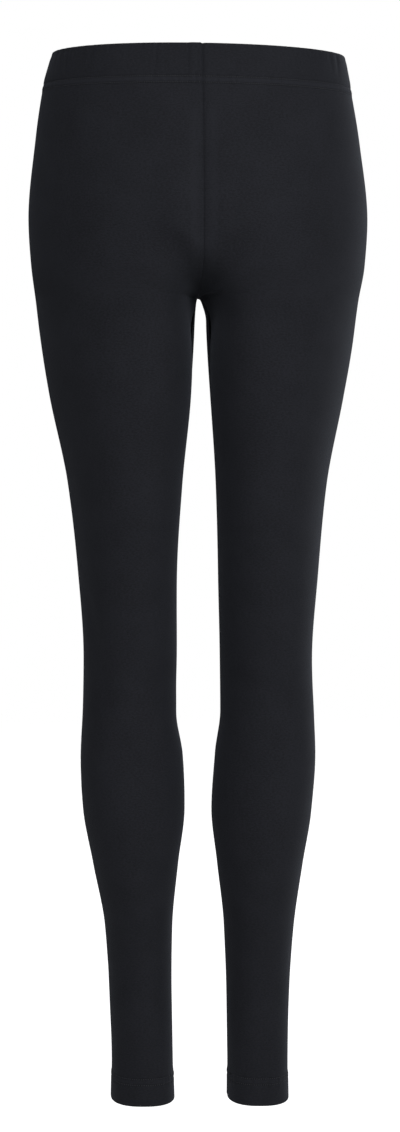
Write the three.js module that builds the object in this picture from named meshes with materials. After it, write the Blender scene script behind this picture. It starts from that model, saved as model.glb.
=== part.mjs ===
// Ankle-length jersey leggings in their worn, filled-out form, hollow and open at the waist and both hems.
// Millimetres, +Z up, front at -Y, back at +Y, the wearer's left at +X.
// The origin is the centre of the waistband ring at half its height.
import * as THREE from "three";

// Heights, measured down the side from the top fold of the waistband
const BAND_DEPTH = 36;
const RISE_TURN = 174;
const CROTCH = 221;
const HEM_FOLD = 961;
const HEM_DEPTH = 26;
const FRONT_DIP = 12;

// Cloth and seams
const CLOTH = 1.2;
const BAND_THICK = 3;
const HEM_THICK = 2.2;
const SEAM_GAP = 0.3;
const HALF_GAP = SEAM_GAP / 2;

// Stance and the blending of the torso into the legs
const SIDE_TILT = 0.0098;
const ARCH_HEIGHT = 10;
const INSEAM_EASE = 0.08;
const RISE_CROWDING = 0.69;
const RISE_REACH = 0.25;
const TURN_ABOVE = 45;
const TURN_BELOW = 75;

// Mesh steps
const COLUMNS_ROUND = 28;
const TORSO_ROWS = 5;
const RISE_ROWS = 8;
const ARCH_ROWS = [2, 5];
const LEG_STEPS = [
  { to: 490, step: 30 },
  { to: 630, step: 14 },
  { to: HEM_FOLD - HEM_DEPTH - SEAM_GAP, step: 30 },
];

// One row for each section of one side of the garment.
// outer and inner are the distances of its two edges from the middle plane, front and back its depths,
// midIn and midOut the y of those edges, square the exponent of its rounded outline,
// swayOut and swayIn how far the stance moves those edges towards the wearer's left.
const SECTION_COLUMNS = [
  "drop", "outer", "inner", "front", "back", "midIn", "midOut", "square", "swayOut", "swayIn",
];
const SECTIONS = [
  [0, 132.5, 0, 90.5, 90.5, 0, 0, 2.05, -2, 0],
  [36, 141, 0, 96.5, 97.5, 0, 0, 2.1, -0.5, 0],
  [80, 148, 0, 98, 109, 0, -3, 2.2, -1, 0],
  [150, 155, 0, 97, 121, 5, -8, 2.3, -1.5, 0],
  [190, 153, 0, 93, 119, 12, -12, 2.3, -1.5, 0],
  [221, 149, 4.6, 90, 110, 18, -15, 2.25, -1, -3],
  [250, 145.5, 5.4, 86, 99, 20, -17, 2.2, -1, -2.5],
  [310, 135.5, 9, 81, 87, 20, -16, 2.15, -0.5, -2.5],
  [390, 119.5, 15.5, 75, 78, 12, -12, 2.1, -1, -1.5],
  [470, 111, 19, 67, 69, 5, -6, 2.1, -1.5, -0.5],
  [550, 105.5, 20, 59, 58, 0, 0, 2.15, -1, -1.5],
  [600, 107, 20.5, 56, 53, 0, 0, 2.2, -1.5, -1.5],
  [640, 108.5, 15, 52, 56, 0, 4, 2.2, -1, -2],
  [690, 105.5, 12.5, 46, 63, 3, 8, 2.15, 0, -1],
  [740, 97, 18, 41, 61, 4, 8, 2.1, -0.5, -0.5],
  [800, 87.5, 24, 37, 51, 4, 6, 2.1, -2, -1],
  [865, 83.5, 25.5, 35, 43, 4, 5, 2.2, -2, -2],
  [926, 82, 25.5, 34, 40, 3, 4, 2.35, -2.5, -3],
  [961, 82.5, 25, 35, 41, 3, 3, 2.45, -2.5, -3.5],
];

// One row for each large soft fold. side is 1 or -1 for one leg and 0 for both, around runs from 0 at the
// front edge over 0.5 at the side to 1 at the back edge, slope is 0 for a fold that runs round the leg and
// 90 for one that runs down it, and a negative depth is a ridge.
const FOLD_COLUMNS = ["side", "drop", "around", "length", "width", "depth", "slope"];
const FOLDS = [
  [0, 150, 1, 150, 26, 4.5, 90],
  [1, 532, 0.605, 95, 12, 2, 78],
  [1, 566, 0.77, 95, 14, 2, 8],
  [-1, 572, 0.74, 105, 14, 2.2, -10],
  [-1, 536, 0.8, 80, 13, 1.4, 12],
  [1, 600, 0.3, 90, 14, 1.4, -8],
  [-1, 590, 0.27, 85, 14, 1.3, 10],
  [0, 205, 0.13, 80, 13, 1.6, 30],
  [0, 214, 0.86, 170, 32, 3.5, 4],
];

const namedRows = (columns, table) =>
  table.map((row) => Object.fromEntries(columns.map((name, i) => [name, row[i]])));

// Smooth curve through a table that never overshoots its points
function monotoneCurve(xs, ys) {
  const last = xs.length - 1;
  const chords = xs.slice(1).map((x, i) => (ys[i + 1] - ys[i]) / (x - xs[i]));
  const slopes = xs.map((x, i) => {
    if (i === 0 || i === last) return chords[Math.min(i, last - 1)];
    if (chords[i - 1] * chords[i] <= 0) return 0;
    const before = x - xs[i - 1];
    const after = xs[i + 1] - x;
    const weightBefore = 2 * after + before;
    const weightAfter = after + 2 * before;
    return (weightBefore + weightAfter) / (weightBefore / chords[i - 1] + weightAfter / chords[i]);
  });
  return (x) => {
    let k = 0;
    while (k < last - 1 && x > xs[k + 1]) k += 1;
    const span = xs[k + 1] - xs[k];
    const t = (x - xs[k]) / span;
    const s = 1 - t;
    return (
      s * s * (1 + 2 * t) * ys[k] +
      t * t * (3 - 2 * t) * ys[k + 1] +
      span * t * s * (s * slopes[k] - t * slopes[k + 1])
    );
  };
}

const sections = namedRows(SECTION_COLUMNS, SECTIONS);
const folds = namedRows(FOLD_COLUMNS, FOLDS);
const drops = sections.map((row) => row.drop);
const curves = SECTION_COLUMNS.slice(1).map((name) => [
  name,
  monotoneCurve(drops, sections.map((row) => row[name])),
]);

const clamp01 = (x) => Math.min(Math.max(x, 0), 1);
const smooth = (x) => clamp01(x) ** 2 * (3 - 2 * clamp01(x));
const signedPower = (x, power) => Math.sign(x) * Math.abs(x) ** power;
const mix = (a, b, t) => (1 - t) * a + t * b;

// Section at one height, with the stance of that side and the blunt arch between the legs
function sectionAt(side, drop) {
  const s = Object.fromEntries(curves.map(([name, curve]) => [name, curve(drop)]));
  const open = 1 - clamp01((drop - CROTCH) / ARCH_HEIGHT);
  const arch = drop < CROTCH ? 0 : Math.sqrt(1 - open * open);
  s.outer += side * s.swayOut;
  const inner = s.inner + side * s.swayIn;
  s.edge = mix(HALF_GAP, inner, arch);
  s.inner = mix(HALF_GAP, inner, smooth((drop - RISE_TURN) / (2 * (CROTCH - RISE_TURN))));
  s.power = 2 / s.square;
  return s;
}

// 1 at the rise and inseam edges, falling softly to 0 at RISE_REACH from them
const seamNearness = (around) => clamp01(1 - (Math.min(around, 1 - around) / RISE_REACH) ** 2) ** 2;

// Slow start and stop at the inseam, steady in between
function easedRound(around) {
  const rate = 1 / (1 - INSEAM_EASE);
  const fromEnd = Math.min(around, 1 - around);
  const near = (rate * fromEnd * fromEnd) / (2 * INSEAM_EASE);
  const eased = fromEnd < INSEAM_EASE ? near : rate * (fromEnd - INSEAM_EASE / 2);
  return around < 0.5 ? eased : 1 - eased;
}

// Direction round the torso, from -90 degrees at the front seam to 90 at the back seam
function torsoAngle(around) {
  const crowded = around - (RISE_CROWDING * Math.sin(2 * Math.PI * around)) / (2 * Math.PI);
  return (crowded - 0.5) * Math.PI;
}

// Half ring of the torso, from the front seam over the side to the back seam
function torsoRing(s, around) {
  const sine = Math.sin(torsoAngle(around));
  const cosine = Math.abs(Math.cos(torsoAngle(around)));
  const depth = sine < 0 ? s.front : s.back;
  return [
    mix(HALF_GAP, s.outer, cosine ** s.power),
    s.midOut * cosine + depth * signedPower(sine, s.power),
  ];
}

// Whole ring of a leg, from the inseam over the front, side and back to the inseam
function legRing(s, around) {
  const angle = (2 * easedRound(around) - 1) * Math.PI;
  const sine = Math.sin(angle);
  const cosine = Math.cos(angle);
  const centre = (s.midIn + s.midOut) / 2;
  const skew = (s.midOut - s.midIn) / 2;
  const toEdge = (s.edge - s.inner) * seamNearness(around);
  const depth = sine < 0 ? s.front + centre : s.back - centre;
  return [
    (s.outer + s.inner) / 2 + ((s.outer - s.inner) / 2) * signedPower(cosine, s.power) + toEdge,
    centre + skew * cosine + depth * signedPower(sine, s.power),
  ];
}

// Point of the plain outer surface. The rise seam turns under between RISE_TURN and CROTCH, and away from
// it the torso passes into the leg over a longer stretch.
function plainPoint(side, drop, around) {
  const s = sectionAt(side, drop);
  const nearSeam = seamNearness(around);
  const turnFrom = RISE_TURN - TURN_ABOVE * (1 - nearSeam);
  const turnTo = CROTCH + TURN_BELOW * (1 - nearSeam);
  const turned = clamp01((drop - turnFrom) / (turnTo - turnFrom));
  const under = mix(smooth(turned), 1 - Math.cos((turned * Math.PI) / 2), nearSeam ** 4);
  const [torsoX, torsoY] = torsoRing(s, around);
  const [legX, legY] = legRing(s, around);
  const seamTurn = clamp01((drop - RISE_TURN) / (CROTCH - RISE_TURN));
  const seamShift = mix(RISE_TURN, CROTCH, Math.sin((seamTurn * Math.PI) / 2) - seamTurn) - RISE_TURN;
  const frontness = Math.max(-Math.sin(torsoAngle(around)), 0) ** 2;
  const dip = FRONT_DIP * frontness * (1 - smooth((drop - BAND_DEPTH) / (RISE_TURN - BAND_DEPTH)));
  const x = side * mix(torsoX, legX, under);
  const fall = drop + nearSeam * seamShift + dip;
  return new THREE.Vector3(x, mix(torsoY, legY, under), BAND_DEPTH / 2 - fall + SIDE_TILT * x);
}

// Outward direction, kept in the seam's own plane along the rise and the inseam
const DROP_STEP = 3;
const ROUND_STEP = 0.02;
function outward(side, drop, around) {
  const [above, below] = [Math.max(drop - DROP_STEP, 0), Math.min(drop + DROP_STEP, HEM_FOLD)];
  const [before, after] = [Math.max(around - ROUND_STEP, 0), Math.min(around + ROUND_STEP, 1)];
  const down = plainPoint(side, below, around).sub(plainPoint(side, above, around));
  const round = plainPoint(side, drop, after).sub(plainPoint(side, drop, before));
  const normal = new THREE.Vector3().crossVectors(down, round).multiplyScalar(side);
  if (around === 0 || around === 1) normal.setComponent(drop <= CROTCH ? 0 : 1, 0);
  return normal.normalize();
}

// Depth of all folds at one place, along the cloth
function foldDepth(side, drop, around) {
  const s = sectionAt(side, drop);
  const halfWidth = (s.outer - s.inner) / 2;
  const halfDepth = (s.front + s.back) / 2;
  const torsoGirth = (Math.PI * (s.outer + halfDepth)) / 2;
  const legGirth = Math.PI * (halfWidth + halfDepth);
  const legShare = THREE.MathUtils.smoothstep(drop, RISE_TURN, 2 * CROTCH - RISE_TURN);
  const girth = THREE.MathUtils.lerp(torsoGirth, legGirth, legShare);
  return folds.reduce((sum, fold) => {
    if (fold.side === -side) return sum;
    const angle = THREE.MathUtils.degToRad(fold.slope);
    const across = (around - fold.around) * girth;
    const down = drop - fold.drop;
    const run = across * Math.cos(angle) + down * Math.sin(angle);
    const off = down * Math.cos(angle) - across * Math.sin(angle);
    return sum + fold.depth * Math.exp(-((off / fold.width) ** 2) - ((2 * run) / fold.length) ** 4);
  }, 0);
}

function clothPoint(side, drop, around, inward) {
  const point = plainPoint(side, drop, around);
  const normal = outward(side, drop, around);
  point.addScaledVector(normal, -inward - foldDepth(side, drop, around));
  const endSign = around === 0 ? -1 : around === 1 ? 1 : 0;
  if (drop >= CROTCH) point.y += endSign * HALF_GAP;
  return point;
}

// Closed cloth wall between two edges. Each row gives the depth of its outer and inner face.
function clothWall(side, rows) {
  const positions = [];
  const index = [];
  const rowSize = COLUMNS_ROUND + 1;
  const faceSize = rows.length * rowSize;
  for (const face of ["skin", "lining"]) {
    for (const row of rows) {
      for (let j = 0; j <= COLUMNS_ROUND; j += 1) {
        positions.push(...clothPoint(side, row.drop, j / COLUMNS_ROUND, row[face]).toArray());
      }
    }
  }
  const quad = (a, b, c, d) => {
    index.push(...(side > 0 ? [a, b, c, a, c, d] : [a, c, b, a, d, c]));
  };
  const skin = (i, j) => i * rowSize + j;
  const lining = (i, j) => faceSize + i * rowSize + j;
  const lastRow = rows.length - 1;
  for (let i = 0; i < lastRow; i += 1) {
    for (let j = 0; j < COLUMNS_ROUND; j += 1) {
      quad(skin(i, j), skin(i + 1, j), skin(i + 1, j + 1), skin(i, j + 1));
      quad(lining(i, j), lining(i, j + 1), lining(i + 1, j + 1), lining(i + 1, j));
    }
    quad(skin(i, 0), lining(i, 0), lining(i + 1, 0), skin(i + 1, 0));
    quad(skin(i, COLUMNS_ROUND), skin(i + 1, COLUMNS_ROUND), lining(i + 1, COLUMNS_ROUND), lining(i, COLUMNS_ROUND));
  }
  for (let j = 0; j < COLUMNS_ROUND; j += 1) {
    quad(skin(0, j), skin(0, j + 1), lining(0, j + 1), lining(0, j));
    quad(skin(lastRow, j), lining(lastRow, j), lining(lastRow, j + 1), skin(lastRow, j + 1));
  }
  const geometry = new THREE.BufferGeometry();
  geometry.setAttribute("position", new THREE.Float32BufferAttribute(positions, 3));
  geometry.setIndex(index);
  geometry.computeVertexNormals();
  return geometry;
}

const evenSteps = (from, to, count) =>
  Array.from({ length: count }, (_, i) => mix(from, to, (i + 1) / count));

// Leg panel: half the torso and one whole leg, from the waistband to the hem
function legRows() {
  const top = BAND_DEPTH + SEAM_GAP;
  const heights = [
    top,
    ...evenSteps(top, RISE_TURN, TORSO_ROWS),
    ...evenSteps(RISE_TURN, CROTCH, RISE_ROWS),
    ...ARCH_ROWS.map((below) => CROTCH + below),
    CROTCH + ARCH_HEIGHT,
  ];
  for (const { to, step } of LEG_STEPS) {
    const from = heights[heights.length - 1];
    heights.push(...evenSteps(from, to, Math.round((to - from) / step)));
  }
  return heights.map((drop) => ({ drop, skin: 0, lining: CLOTH }));
}

// A folded edge: full thickness up to the round of the fold, which has half that thickness as its radius
function foldedRows(flatEdge, foldEdge, thick) {
  const radius = thick / 2;
  const direction = Math.sign(foldEdge - flatEdge);
  const flat = [flatEdge, (flatEdge + foldEdge) / 2].map((drop) => ({ drop, skin: 0, lining: thick }));
  const round = [0, 50, 85].map((degrees) => {
    const angle = THREE.MathUtils.degToRad(degrees);
    const drop = foldEdge - direction * radius * (1 - Math.sin(angle));
    const inset = radius * (1 - Math.cos(angle));
    return { drop, skin: inset, lining: thick - inset };
  });
  const rows = [...flat, ...round];
  return direction > 0 ? rows : rows.reverse();
}

const jersey = (shade) => new THREE.MeshStandardMaterial({ color: shade, roughness: 0.92, metalness: 0 });

function addPiece(garment, name, geometry, shade) {
  const mesh = new THREE.Mesh(geometry, jersey(shade));
  mesh.name = name;
  garment.add(mesh);
}

const garment = new THREE.Group();
for (const [sideName, side] of [["left", 1], ["right", -1]]) {
  const half = new THREE.Group();
  addPiece(half, `leg_${sideName}`, clothWall(side, legRows()), 0x232427);
  addPiece(half, `waistband_${sideName}`, clothWall(side, foldedRows(BAND_DEPTH, 0, BAND_THICK)), 0x26272a);
  const hemRows = foldedRows(HEM_FOLD - HEM_DEPTH, HEM_FOLD, HEM_THICK);
  addPiece(half, `hem_${sideName}`, clothWall(side, hemRows), 0x25262a);
  garment.add(half);
}

export default garment;
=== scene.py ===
import math

import bpy
import numpy as np
from bpy.props import FloatProperty, FloatVectorProperty, PointerProperty
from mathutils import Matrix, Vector


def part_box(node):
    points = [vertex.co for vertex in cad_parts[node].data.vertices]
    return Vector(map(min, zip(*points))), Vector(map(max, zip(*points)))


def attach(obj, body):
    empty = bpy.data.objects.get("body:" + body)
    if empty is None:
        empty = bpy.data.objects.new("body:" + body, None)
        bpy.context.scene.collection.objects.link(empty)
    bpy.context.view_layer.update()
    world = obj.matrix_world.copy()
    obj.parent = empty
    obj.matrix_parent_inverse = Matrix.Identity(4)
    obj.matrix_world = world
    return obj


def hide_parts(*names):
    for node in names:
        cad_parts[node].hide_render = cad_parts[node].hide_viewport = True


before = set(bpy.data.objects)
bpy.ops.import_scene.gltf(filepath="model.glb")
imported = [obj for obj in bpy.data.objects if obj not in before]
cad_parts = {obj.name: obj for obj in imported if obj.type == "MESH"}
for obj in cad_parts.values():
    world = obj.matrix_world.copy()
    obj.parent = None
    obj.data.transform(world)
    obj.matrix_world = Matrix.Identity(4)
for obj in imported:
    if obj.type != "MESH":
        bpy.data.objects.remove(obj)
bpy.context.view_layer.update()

bl_info = {
    "name": "Jersey leggings",
    "version": (1, 0, 0),
    "blender": (4, 5, 0),
    "location": "3D View > Sidebar > Leggings",
    "description": "Builds worn-form jersey leggings with their sewing, and a plain studio stage",
    "category": "Add Mesh",
}

MM = 0.001
SIDES = (("left", 1), ("right", -1))

# Heights, measured down the side from the top fold of the waistband
BAND_DEPTH = 36.0
RISE_TURN = 174.0
CROTCH = 221.0
HEM_FOLD = 961.0
HEM_DEPTH = 26.0
FRONT_DIP = 12.0

# Cloth and seams: thicknesses, how far the twin-needle rows keep from the raw edge, the reach of the shadow
# painted into the colour at each needle hole, and where and how far the elastic swells the band
CLOTH = 1.2
BAND_THICK = 3.0
HEM_THICK = 2.2
ROW_INSET = 0.7
HOLE_SHADOW_SPREAD = 0.75
ELASTIC_TOP = 3.0
ELASTIC_FOOT = 29.0
ELASTIC_SWELL = 0.35

# Stance and the blending of the torso into the legs
SIDE_TILT = 0.0098
ARCH_HEIGHT = 10.0
INSEAM_EASE = 0.08
RISE_CROWDING = 0.69
RISE_REACH = 0.25
TURN_ABOVE = 45.0
TURN_BELOW = 75.0

# One row for each section of one side, as in the solids: the distances of its two edges from the middle
# plane, its depths, the y of those edges, the exponent of its rounded outline and the stance's sway.
SECTION_COLUMNS = (
    "drop", "outer", "inner", "front", "back", "mid_in", "mid_out", "square", "sway_out", "sway_in",
)
SECTIONS = (
    (0, 132.5, 0, 90.5, 90.5, 0, 0, 2.05, -2, 0),
    (36, 141, 0, 96.5, 97.5, 0, 0, 2.1, -0.5, 0),
    (80, 148, 0, 98, 109, 0, -3, 2.2, -1, 0),
    (150, 155, 0, 97, 121, 5, -8, 2.3, -1.5, 0),
    (190, 153, 0, 93, 119, 12, -12, 2.3, -1.5, 0),
    (221, 149, 4.6, 90, 110, 18, -15, 2.25, -1, -3),
    (250, 145.5, 5.4, 86, 99, 20, -17, 2.2, -1, -2.5),
    (310, 135.5, 9, 81, 87, 20, -16, 2.15, -0.5, -2.5),
    (390, 119.5, 15.5, 75, 78, 12, -12, 2.1, -1, -1.5),
    (470, 111, 19, 67, 69, 5, -6, 2.1, -1.5, -0.5),
    (550, 105.5, 20, 59, 58, 0, 0, 2.15, -1, -1.5),
    (600, 107, 20.5, 56, 53, 0, 0, 2.2, -1.5, -1.5),
    (640, 108.5, 15, 52, 56, 0, 4, 2.2, -1, -2),
    (690, 105.5, 12.5, 46, 63, 3, 8, 2.15, 0, -1),
    (740, 97, 18, 41, 61, 4, 8, 2.1, -0.5, -0.5),
    (800, 87.5, 24, 37, 51, 4, 6, 2.1, -2, -1),
    (865, 83.5, 25.5, 35, 43, 4, 5, 2.2, -2, -2),
    (926, 82, 25.5, 34, 40, 3, 4, 2.35, -2.5, -3),
    (961, 82.5, 25, 35, 41, 3, 3, 2.45, -2.5, -3.5),
)

# One row for each soft fold. side is 1 or -1 for one leg and 0 for both, around runs from 0 at the front
# edge over 0.5 at the side to 1 at the back edge, and slope is 0 for a fold that runs round the leg and 90
# for one that runs down it. The large ones are the solids' own, and the last of the others deepens the one
# under the seat.
FOLD_COLUMNS = ("side", "drop", "around", "length", "width", "depth", "slope")
LARGE_FOLDS = (
    (0, 150, 1, 150, 26, 4.5, 90),
    (1, 532, 0.605, 95, 12, 2, 78),
    (1, 566, 0.77, 95, 14, 2, 8),
    (-1, 572, 0.74, 105, 14, 2.2, -10),
    (-1, 536, 0.8, 80, 13, 1.4, 12),
    (1, 600, 0.3, 90, 14, 1.4, -8),
    (-1, 590, 0.27, 85, 14, 1.3, 10),
    (0, 205, 0.13, 80, 13, 1.6, 30),
    (0, 214, 0.86, 170, 32, 3.5, 4),
)
SMALL_FOLDS = (
    (1, 524, 0.72, 60, 6, 0.5, 16),
    (1, 549, 0.84, 46, 5, 0.45, -14),
    (1, 590, 0.7, 52, 6, 0.5, -9),
    (1, 611, 0.8, 38, 5, 0.3, 12),
    (-1, 518, 0.71, 50, 6, 0.45, -12),
    (-1, 553, 0.68, 58, 6, 0.55, 9),
    (-1, 597, 0.79, 44, 6, 0.4, 15),
    (-1, 620, 0.7, 40, 5, 0.3, -8),
    (1, 584, 0.22, 46, 6, 0.45, 14),
    (1, 622, 0.36, 52, 6, 0.4, -12),
    (-1, 572, 0.36, 48, 6, 0.4, -10),
    (-1, 612, 0.2, 44, 5, 0.45, 13),
    (1, 178, 0.2, 52, 7, 0.6, 42),
    (-1, 184, 0.17, 60, 7, 0.55, 36),
    (1, 234, 0.09, 44, 7, 0.6, 24),
    (-1, 229, 0.1, 40, 7, 0.5, 28),
    (1, 226, 0.9, 46, 8, 0.7, -24),
    (-1, 231, 0.89, 52, 8, 0.7, -28),
    (1, 251, 0.84, 60, 8, 0.45, -16),
    (-1, 257, 0.83, 54, 8, 0.4, -18),
    (1, 893, 0.3, 60, 7, 0.5, 10),
    (1, 910, 0.72, 54, 6, 0.4, -12),
    (-1, 899, 0.24, 52, 7, 0.45, -9),
    (-1, 884, 0.74, 60, 7, 0.45, 12),
    (1, 846, 0.6, 46, 8, 0.35, 24),
    (-1, 853, 0.4, 48, 8, 0.35, -22),
    (1, 60, 0.93, 44, 7, 0.35, 86),
    (-1, 66, 0.9, 36, 7, 0.3, 80),
    (1, 420, 0.56, 120, 12, 0.6, 84),
    (-1, 440, 0.46, 130, 12, 0.5, 96),
    (1, 330, 0.2, 110, 12, 0.5, 74),
    (-1, 345, 0.78, 120, 13, 0.5, 104),
    (0, 243, 0.8, 250, 32, 3.4, 2),
)

# One row for each pucker that the elastic pulls into the top fold: where it lies from the back seam along
# the band, its width, how far it reaches down, its depth and how far its foot slants along the band.
PUCKER_COLUMNS = ("side", "from_back", "width", "reach", "depth", "slant")
PUCKERS = (
    (1, 102, 2.2, 17, 0.72, 1), (1, 112, 1.8, 13, 0.56, -1), (1, 121, 2.6, 18, 0.96, 2),
    (1, 130, 2.0, 14, 0.8, 0), (1, 138, 2.4, 20, 1.04, -2), (1, 147, 2.0, 11, 0.64, 1),
    (1, 40, 1.5, 42, 0.48, 4), (1, 66, 1.8, 10, 0.29, 1), (1, 84, 2.0, 11, 0.35, -1),
    (1, 24, 1.4, 8, 0.24, 0), (-1, 20, 1.5, 10, 0.24, 1), (-1, 47, 2.0, 11, 0.32, -1),
    (-1, 78, 1.8, 11, 0.4, 1), (-1, 93, 2.2, 14, 0.64, 0), (-1, 104, 1.7, 11, 0.48, 1),
    (-1, 113, 2.4, 17, 0.8, -1), (-1, 126, 2.0, 13, 0.64, 2), (-1, 139, 2.5, 18, 0.88, 0),
    (1, 171, 2.3, 15, 0.64, -1), (1, 190, 2.0, 13, 0.56, 1), (1, 214, 2.6, 17, 0.8, 0),
    (1, 236, 1.9, 11, 0.48, 2), (1, 262, 2.4, 15, 0.64, -2), (1, 289, 2.0, 13, 0.48, 1),
    (1, 318, 2.1, 14, 0.48, 0), (-1, 165, 2.2, 14, 0.64, 1), (-1, 186, 1.8, 11, 0.48, -1),
    (-1, 205, 2.5, 17, 0.72, 0), (-1, 231, 2.1, 13, 0.56, -2), (-1, 257, 2.3, 15, 0.64, 1),
    (-1, 284, 1.9, 11, 0.48, 0), (-1, 311, 2.2, 14, 0.48, 1),
)

# Where a faint highlight is painted into the cloth's colour on both sides of the back seam, over the pressed
# seam
# allowance: the middle and half width of the strip from the seam, and its middle and half length down the
# side
PAINTED_SHINE_STRIP = {"from_back": 8.5, "width": 5.0, "drop": 122.0, "length": 75.0}

# The small uneven ripple that a row of stitching draws up: wave lengths, shares and starts
RIPPLES = ((5.3, 0.36, 0.4), (7.9, 0.3, 2.1), (11.7, 0.2, 4.0), (19.3, 0.14, 5.2))


# Sizes and colours

class LeggingsSizes(bpy.types.PropertyGroup):
    """Sizes of the sewing and of the cloth's fine form"""

    needle_gauge: FloatProperty(
        name="Needle gauge", description="Distance between the two rows of twin-needle stitches",
        default=5.6 * MM, min=2 * MM, max=8 * MM, unit="LENGTH", precision=5)
    stitch_pitch: FloatProperty(
        name="Stitch pitch", description="Length of one stitch of the twin-needle rows",
        default=2.1 * MM, min=1 * MM, max=5 * MM, unit="LENGTH", precision=5)
    thread: FloatProperty(
        name="Thread", description="Thickness of the sewing thread",
        default=0.5 * MM, min=0.1 * MM, max=1 * MM, unit="LENGTH", precision=5)
    stitch_groove: FloatProperty(
        name="Stitch groove", description="How deep a row of stitches sinks into the cloth",
        default=0.6 * MM, min=0, max=1 * MM, unit="LENGTH", precision=5)
    ripple: FloatProperty(
        name="Ripple", description="Height of the ripple that a row of stitches draws up",
        default=0.42 * MM, min=0, max=1 * MM, unit="LENGTH", precision=5)
    band_step: FloatProperty(
        name="Band step", description="How far the folded band and hems stand out over the single cloth",
        default=0.5 * MM, min=0, max=2 * MM, unit="LENGTH", precision=5)
    seam_groove: FloatProperty(
        name="Seam groove", description="How deep the cloth turns in at a seam",
        default=1.0 * MM, min=0, max=2 * MM, unit="LENGTH", precision=5)
    allowance: FloatProperty(
        name="Seam allowance", description="Width of the overlocked seam allowance inside",
        default=7 * MM, min=4 * MM, max=12 * MM, unit="LENGTH", precision=5)
    band_allowance: FloatProperty(
        name="Band allowance", description="Width of the ridge that the back seam makes on the band",
        default=11 * MM, min=4 * MM, max=15 * MM, unit="LENGTH", precision=5)
    wale: FloatProperty(
        name="Wale", description="Width of one column of knit stitches",
        default=0.85 * MM, min=0.3 * MM, max=3 * MM, unit="LENGTH", precision=5)
    course: FloatProperty(
        name="Course", description="Height of one row of knit stitches",
        default=0.6 * MM, min=0.3 * MM, max=3 * MM, unit="LENGTH", precision=5)


class LeggingsColours(bpy.types.PropertyGroup):
    """Colours of the cloth, the thread and the stage"""

    cloth_dark: FloatVectorProperty(
        name="Cloth, hollows", description="Colour of the jersey between its stitches",
        subtype="COLOR", size=3, default=(0.0088, 0.0094, 0.0126), min=0, max=1)
    cloth_light: FloatVectorProperty(
        name="Cloth, stitches", description="Colour of the jersey's raised stitches",
        subtype="COLOR", size=3, default=(0.0182, 0.0192, 0.0250), min=0, max=1)
    thread: FloatVectorProperty(
        name="Thread", description="Colour of the sewing thread",
        subtype="COLOR", size=3, default=(0.044, 0.045, 0.052), min=0, max=1)
    # Painted shadow: the near-black colour laid into the cloth at each needle hole
    needle_hole_shadow: FloatVectorProperty(
        name="Needle hole", description="Colour of the small shadowed holes between two stitches",
        subtype="COLOR", size=3, default=(0.002, 0.002, 0.003), min=0, max=1)
    bloom: FloatVectorProperty(
        name="Bloom", description="Tint of the soft fuzz at grazing angles",
        subtype="COLOR", size=3, default=(0.78, 0.84, 1.0), min=0, max=1)
    floor: FloatVectorProperty(
        name="Floor", description="Colour of the studio floor",
        subtype="COLOR", size=3, default=(0.9, 0.9, 0.9), min=0, max=1)


class LeggingsStage(bpy.types.PropertyGroup):
    """The camera and the light"""

    distance: FloatProperty(
        name="Camera distance", description="Distance of the camera from the leggings' upright axis",
        default=2.4, min=1, max=10, unit="LENGTH")
    below_waist: FloatProperty(
        name="Camera height", description="How far the camera stands below the middle of the waistband",
        default=0.284, min=0, max=1, unit="LENGTH")
    round_turn: FloatProperty(
        name="Camera turn", description="How far the camera stands round to the wearer's left from behind",
        subtype="ANGLE", default=math.radians(3.3))
    pitch: FloatProperty(
        name="Camera pitch", description="How far the camera looks down",
        subtype="ANGLE", default=math.radians(3.9))
    view_height: FloatProperty(
        name="View height", description="Height of the camera's view, as an angle",
        subtype="ANGLE", default=math.radians(24.48))
    room_light: FloatProperty(
        name="Room light", description="Light that the surroundings give, where 1 is white",
        default=0.034, min=0, max=5)
    front_light: FloatProperty(
        name="Front light", description="Power of the large soft light above the camera, in watts",
        default=53.5, min=0, max=500)
    fill_light: FloatProperty(
        name="Fill light", description="Power of the large soft light on the wearer's front, in watts",
        default=13.0, min=0, max=500)
    side_light: FloatProperty(
        name="Side light", description="Power of the large soft light on the viewer's right, in watts",
        default=6.5, min=0, max=500)
    back_light: FloatProperty(
        name="Back light", description="Power of the soft light behind the leggings on the right, in watts",
        default=8.0, min=0, max=500)


# Curves and small functions

def named_columns(columns, table):
    """The columns of a table of numbers, by name."""
    return {name: np.array([row[i] for row in table], float) for i, name in enumerate(columns)}


def monotone_curve(xs, ys, x):
    """Smooth curve through a table that never overshoots its points."""
    steps = np.diff(xs)
    chords = np.diff(ys) / steps
    slopes = np.zeros_like(ys)
    slopes[0], slopes[-1] = chords[0], chords[-1]
    for i in range(1, len(xs) - 1):
        if chords[i - 1] * chords[i] > 0:
            before = 2 * steps[i] + steps[i - 1]
            after = steps[i] + 2 * steps[i - 1]
            slopes[i] = (before + after) / (before / chords[i - 1] + after / chords[i])
    k = np.clip(np.searchsorted(xs, x) - 1, 0, len(xs) - 2)
    t = (x - xs[k]) / steps[k]
    s = 1 - t
    ends = s * s * (1 + 2 * t) * ys[k] + t * t * (3 - 2 * t) * ys[k + 1]
    return ends + steps[k] * t * s * (s * slopes[k] - t * slopes[k + 1])


def smooth(x):
    """Soft step from 0 to 1."""
    x = np.clip(x, 0, 1)
    return x * x * (3 - 2 * x)


def mix(a, b, t):
    return (1 - t) * a + t * b


def signed_power(x, power):
    return np.sign(x) * np.abs(x) ** power


def bump_at(x, centre, width):
    """Soft bump of height 1."""
    return np.exp(-(((x - centre) / width) ** 2))


# The cloth's form

TABLE = named_columns(SECTION_COLUMNS, SECTIONS)


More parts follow.
